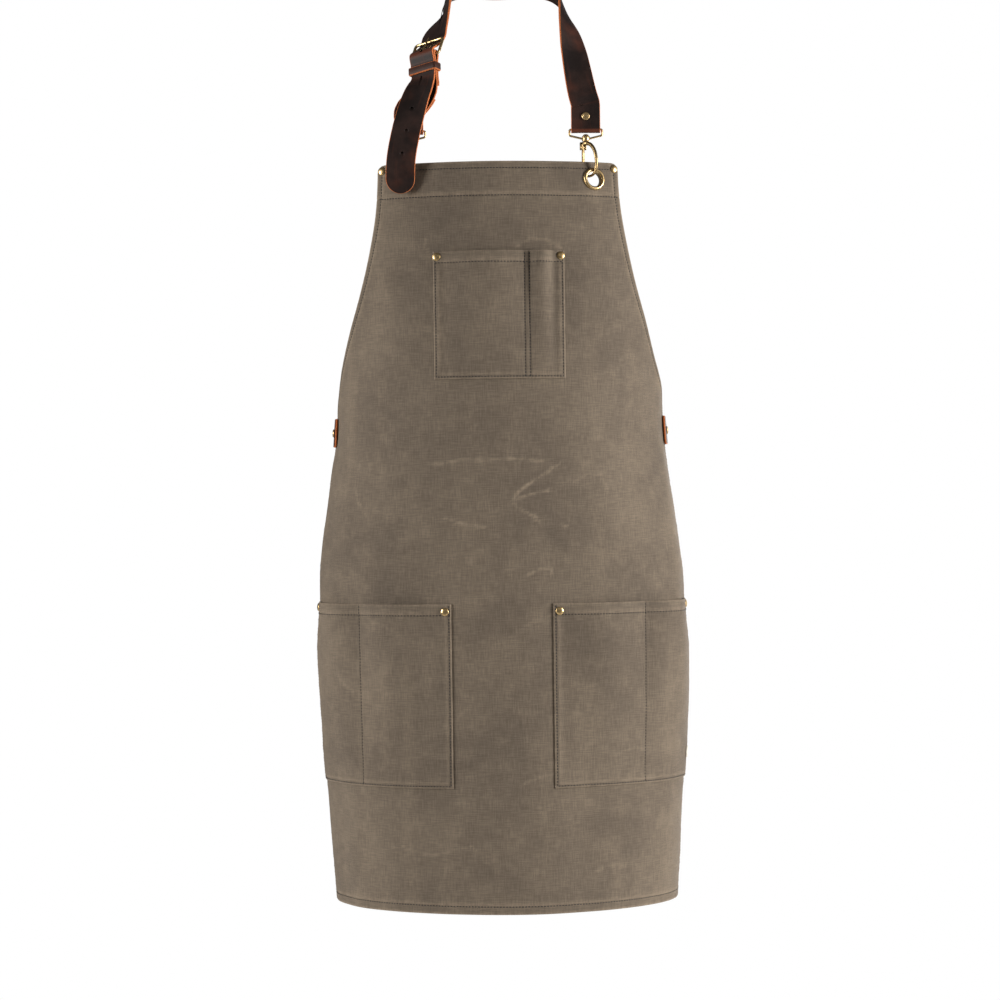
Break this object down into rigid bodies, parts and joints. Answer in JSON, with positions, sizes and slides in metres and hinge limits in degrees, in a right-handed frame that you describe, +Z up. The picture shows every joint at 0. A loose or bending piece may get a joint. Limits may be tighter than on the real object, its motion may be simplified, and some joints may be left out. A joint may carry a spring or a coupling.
{
  "type": "butcher apron",
  "caption": "Bib apron in waxed canvas with chest and hip pockets, a buckled leather neck strap on snap hooks, and buckled leather waist straps.",
  "frame": {"origin": "on the inner face of the neck strap at the middle of the nape, where the strap rests on the neck", "axes": "+Z up, the front of the apron faces -Y, +X to the right of someone looking at the wearer"},
  "size_m": [0.4038, 0.2499, 1.0237],
  "materials": {
    "waxed_canvas": "olive-brown waxed cotton canvas, matt with a slight wax sheen and pale creases",
    "dark_leather": "dark brown pull-up leather with tan raw edges",
    "antique_brass": "antiqued brass with bright rubbed edges",
    "woven_label": "small plain woven tab"
  },
  "bodies": {
    "root": {"rivet_corner_left_cap": "antique_brass", "rivet_corner_left_back": "antique_brass", "rivet_corner_right_cap": "antique_brass", "rivet_corner_right_back": "antique_brass", "rivet_chest_left_cap": "antique_brass", "rivet_chest_left_back": "antique_brass", "rivet_chest_right_cap": "antique_brass", "rivet_chest_right_back": "antique_brass", "rivet_hip_inner_left_cap": "antique_brass", "rivet_hip_inner_left_back": "antique_brass", "rivet_hip_inner_right_cap": "antique_brass", "rivet_hip_inner_right_back": "antique_brass", "rivet_hip_outer_left_cap": "antique_brass", "rivet_hip_outer_left_back": "antique_brass", "rivet_hip_outer_right_cap": "antique_brass", "rivet_hip_outer_right_back": "antique_brass", "grommet_left": "antique_brass", "grommet_washer_left": "antique_brass", "grommet_right": "antique_brass", "grommet_washer_right": "antique_brass", "rivet_waist_left_cap": "antique_brass", "rivet_waist_left_back": "antique_brass", "rivet_waist_right_cap": "antique_brass", "rivet_waist_right_back": "antique_brass", "apron_panel": "waxed_canvas", "bib_facing": "waxed_canvas", "chest_pocket": "waxed_canvas", "hip_pocket_left": "waxed_canvas", "hip_pocket_right": "waxed_canvas", "side_label": "woven_label", "neck_strap": "dark_leather", "rivet_neck_fold_cap": "antique_brass", "rivet_neck_fold_back": "antique_brass", "buckle_billet": "dark_leather", "rivet_billet_low_cap": "antique_brass", "rivet_billet_low_back": "antique_brass", "rivet_billet_high_cap": "antique_brass", "rivet_billet_high_back": "antique_brass", "waist_strap_right": "dark_leather", "waist_strap_left": "dark_leather", "rivet_waist_fold_cap": "antique_brass", "rivet_waist_fold_back": "antique_brass"},
    "eye_left": {"hook_eye_left": "antique_brass"},
    "hook_left": {"hook_body_left": "antique_brass", "gate_pin_left": "antique_brass"},
    "gate_left": {"hook_gate_left": "antique_brass"},
    "eye_right": {"hook_eye_right": "antique_brass"},
    "hook_right": {"hook_body_right": "antique_brass", "gate_pin_right": "antique_brass"},
    "gate_right": {"hook_gate_right": "antique_brass"},
    "neck_frame": {"neck_buckle_frame": "antique_brass"},
    "neck_prong": {"neck_buckle_prong": "antique_brass"},
    "neck_loop": {"neck_keeper": "dark_leather"},
    "waist_frame": {"waist_buckle_frame": "antique_brass"},
    "waist_prong": {"waist_buckle_prong": "antique_brass"},
    "waist_loop": {"waist_keeper": "dark_leather"}
  },
  "joints": [
    {"name": "left_eye_swing", "type": "hinge", "parent": "root", "child": "eye_left", "pos_m": [-0.0945, -0.1193, -0.177], "axis": [1, 0, 0], "range_deg": [-1.5, 1.5]},
    {"name": "left_hook_swivel", "type": "hinge", "parent": "eye_left", "child": "hook_left", "pos_m": [-0.0945, -0.1193, -0.1868], "axis": [0, 0, 1], "range_deg": [-5, 5]},
    {"name": "left_gate_hinge", "type": "hinge", "parent": "hook_left", "child": "gate_left", "pos_m": [-0.09161, -0.11585, -0.1958], "axis": [-0.766, 0.6428, 0], "range_deg": [0, 12], "stiffness_Nm_per_rad": 0.01, "springref_deg": -5.73},
    {"name": "right_eye_swing", "type": "hinge", "parent": "root", "child": "eye_right", "pos_m": [0.0945, -0.1193, -0.177], "axis": [1, 0, 0], "range_deg": [-1.5, 1.5]},
    {"name": "right_hook_swivel", "type": "hinge", "parent": "eye_right", "child": "hook_right", "pos_m": [0.0945, -0.1193, -0.1868], "axis": [0, 0, 1], "range_deg": [-5, 5]},
    {"name": "right_gate_hinge", "type": "hinge", "parent": "hook_right", "child": "gate_right", "pos_m": [0.09161, -0.11585, -0.1958], "axis": [-0.766, -0.6428, 0], "range_deg": [0, 12], "stiffness_Nm_per_rad": 0.01, "springref_deg": -5.73},
    {"name": "neck_frame_swing", "type": "hinge", "parent": "root", "child": "neck_frame", "pos_m": [-0.0765, -0.116, -0.097], "axis": [-0.8145, 0.5597, -0.1529], "range_deg": [-1.2, 1.2]},
    {"name": "neck_prong_lift", "type": "hinge", "parent": "neck_frame", "child": "neck_prong", "pos_m": [-0.0765, -0.116, -0.097], "axis": [0.8145, -0.5597, 0.1529], "range_deg": [0, 18]},
    {"name": "neck_keeper_slide", "type": "slide", "parent": "root", "child": "neck_loop", "axis": [-0.0371, 0.2128, 0.9764], "range_m": [-0.003, 0.0015]},
    {"name": "waist_frame_swing", "type": "hinge", "parent": "root", "child": "waist_frame", "pos_m": [-0.011, 0.0674, -0.497], "axis": [0, 0, 1], "range_deg": [-1.2, 1.2]},
    {"name": "waist_prong_lift", "type": "hinge", "parent": "waist_frame", "child": "waist_prong", "pos_m": [-0.011, 0.0674, -0.497], "axis": [0, 0, 1], "range_deg": [0, 18]},
    {"name": "waist_keeper_slide", "type": "slide", "parent": "root", "child": "waist_loop", "axis": [1, 0, 0], "range_m": [-0.003, 0.0015]}
  ]
}
